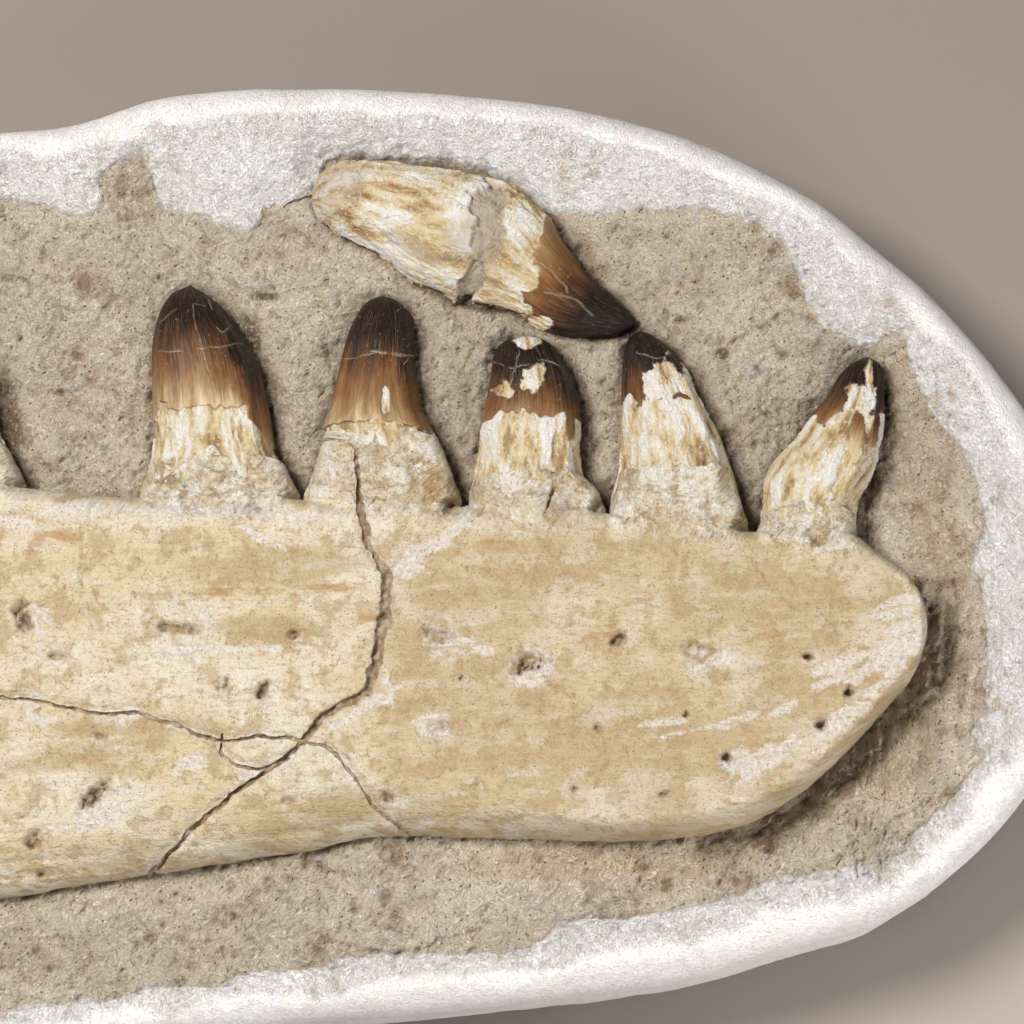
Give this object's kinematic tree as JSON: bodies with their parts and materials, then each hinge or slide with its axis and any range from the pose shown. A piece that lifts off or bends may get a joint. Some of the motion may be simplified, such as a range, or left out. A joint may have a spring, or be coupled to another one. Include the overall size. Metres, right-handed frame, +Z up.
{
  "type": "fossil mosasaur jaw",
  "caption": "Right lower jaw bone of a mosasaur with its teeth and a loose tooth, in a bed of rock inside a plaster field jacket, as a museum lays it out.",
  "frame": {"origin": "middle of the bounding box at the floor", "axes": "+X along the jaw towards its tip, +Y from the lower edge of the bone towards the tips of the teeth, +Z up out of the fossil's exposed face"},
  "size_m": [0.5942, 0.255, 0.061],
  "materials": {
    "plaster": "rough, fibrous and stained white plaster",
    "rock": "gritty sandy rock",
    "bone": "matt fossil bone with a faint sheen of consolidant",
    "enamel": "glossy brown to black enamel"
  },
  "bodies": {
    "root": {"plaster_jacket": "plaster", "rock_matrix": "rock", "dentary_front": "bone", "dentary_wedge": "bone", "dentary_chip": "bone", "dentary_lower": "bone", "dentary_upper": "bone", "dentary_rear": "bone", "loose_tooth": "enamel"}
  },
  "joints": []
}
